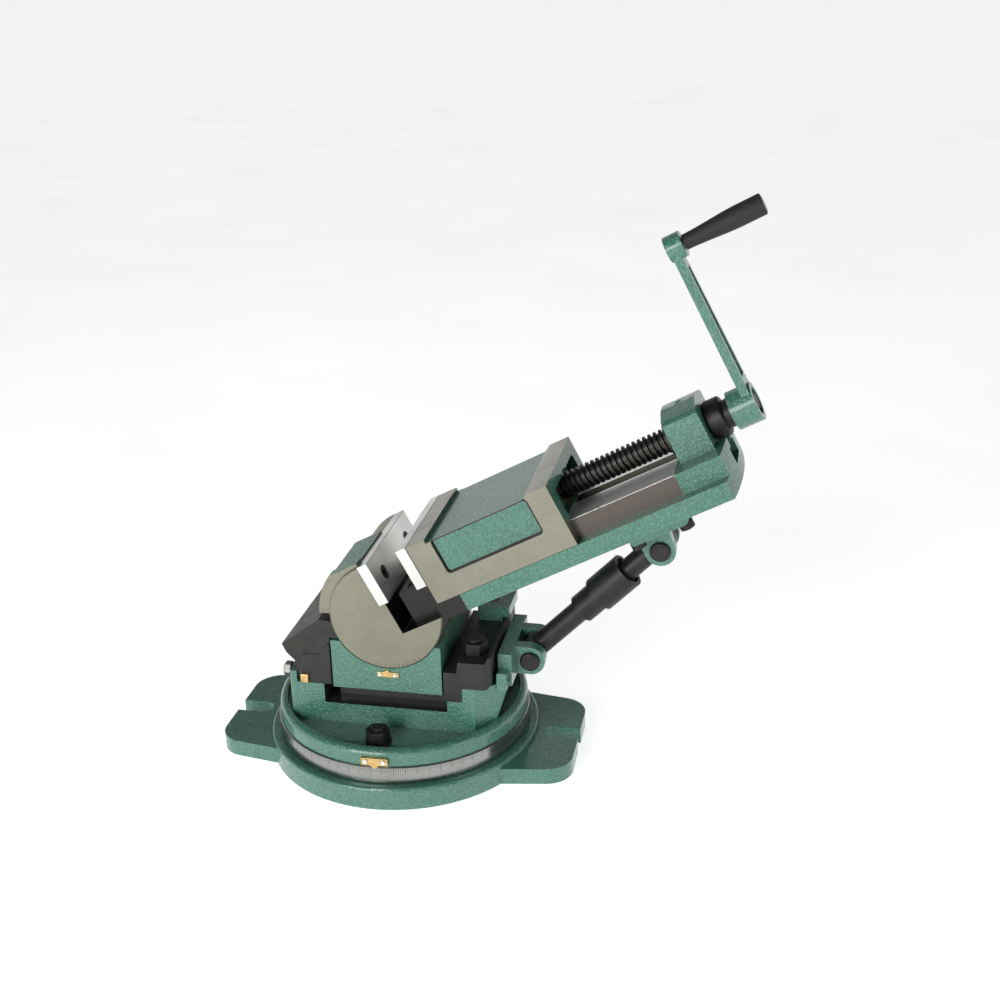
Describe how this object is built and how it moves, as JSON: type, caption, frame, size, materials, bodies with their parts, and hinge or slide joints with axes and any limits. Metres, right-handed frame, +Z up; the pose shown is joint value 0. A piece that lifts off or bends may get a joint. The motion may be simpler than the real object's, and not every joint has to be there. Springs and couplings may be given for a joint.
{
  "type": "machine vise",
  "caption": "Tilting and swivelling machine vise with screw-driven jaw, hand crank, graduated base and adjustable support strut.",
  "frame": {"origin": "centre of the base's underside, on the swivel axis", "axes": "+Z up, +X from the fixed jaw towards the crank, -Y towards the front face with the tilt pointer"},
  "size_m": [0.4903, 0.2534, 0.5168],
  "materials": {
    "green_paint": "hammered paint",
    "polished_steel": "polished",
    "bright_steel": "turned",
    "black_oxide": "black oxide",
    "dark_iron": "dark, machined",
    "ground_iron": "ground",
    "hardened_steel": "ground",
    "brass": "plain",
    "bronze": "turned",
    "black_plastic": "satin"
  },
  "bodies": {
    "base": {"base_plate": "green_paint", "graduated_ring": "polished_steel", "pivot_stud": "bright_steel"},
    "turntable": {"swivel_body": "green_paint", "swivel_tbolts": "black_oxide", "swivel_washers": "black_oxide", "swivel_nuts": "black_oxide", "cradle_block": "green_paint", "cradle_screws": "black_oxide", "left_clamp": "dark_iron", "push_bolts": "bright_steel", "brass_plug": "brass", "right_clamp": "dark_iron", "clamp_studs": "black_oxide", "clamp_nuts": "black_oxide", "rest_block": "green_paint", "tilt_pointer": "brass", "tilt_pointer_screws": "brass", "swivel_pointer": "brass", "swivel_pointer_screws": "brass", "lower_pin": "black_oxide"},
    "bed": {"fixed_jaw": "ground_iron", "fixed_jaw_plate": "hardened_steel", "fixed_plate_screws": "black_oxide", "slide_bed": "green_paint", "drum_screws": "black_oxide", "screw_bracket": "green_paint", "bracket_bolts": "black_oxide", "bracket_bush": "bronze", "oil_screw": "black_oxide", "upper_clevis": "green_paint", "clevis_bolts": "black_oxide", "upper_pin": "black_oxide"},
    "jaw": {"moving_jaw": "ground_iron", "moving_jaw_plate": "hardened_steel", "moving_plate_screws": "black_oxide", "jaw_keeper": "bright_steel", "keeper_screws": "black_oxide", "screw_nut": "bronze"},
    "screw": {"lead_screw": "black_oxide", "thrust_ring": "black_oxide", "thrust_collar": "black_oxide", "crank_handle": "green_paint", "crank_screw": "black_oxide", "grip_spindle": "bright_steel"},
    "grip": {"crank_grip": "black_plastic"},
    "strut_lower": {"strut_lower_rod": "black_oxide"},
    "strut_sleeve": {"strut_sleeve": "black_oxide"},
    "strut_upper": {"strut_upper_rod": "black_oxide"}
  },
  "joints": [
    {"name": "swivel", "type": "hinge", "parent": "base", "child": "turntable", "pos_m": [0, 0, 0.0379], "axis": [0, 0, 1], "continuous": true},
    {"name": "tilt", "type": "hinge", "parent": "turntable", "child": "bed", "pos_m": [0.004, 0, 0.156], "axis": [0, -1, 0], "range_deg": [-27.6, 2.4]},
    {"name": "screw_spin", "type": "hinge", "parent": "bed", "child": "screw", "pos_m": [0.25782, 0, 0.31803], "axis": [0.8862, 0, 0.4633], "range_deg": [-2123, 4859]},
    {"name": "jaw_slide", "type": "slide", "parent": "bed", "child": "jaw", "axis": [0.8862, 0, 0.4633], "range_m": [-0.0295, 0.0675]},
    {"name": "grip_spin", "type": "hinge", "parent": "screw", "child": "grip", "pos_m": [0.27972, 0, 0.49197], "axis": [0.8862, 0, 0.4633], "continuous": true},
    {"name": "strut_swing", "type": "hinge", "parent": "turntable", "child": "strut_lower", "pos_m": [0.1258, 0, 0.102], "axis": [0, -1, 0], "range_deg": [-44.2, 3.9]},
    {"name": "sleeve_travel", "type": "slide", "parent": "strut_lower", "child": "strut_sleeve", "axis": [0.7043, 0, 0.7099], "range_m": [-0.0247, 0.0022]},
    {"name": "strut_extend", "type": "slide", "parent": "strut_lower", "child": "strut_upper", "axis": [0.7043, 0, 0.7099], "range_m": [-0.0492, 0.0043]}
  ],
  "couplings": [
    {"joint": "jaw_slide", "follows": "screw_spin", "m_per_rad": 0.00079577},
    {"joint": "strut_swing", "follows": "tilt", "ratio": 1.6},
    {"joint": "sleeve_travel", "follows": "tilt", "m_per_rad": 0.050993},
    {"joint": "strut_extend", "follows": "tilt", "m_per_rad": 0.10199}
  ]
}
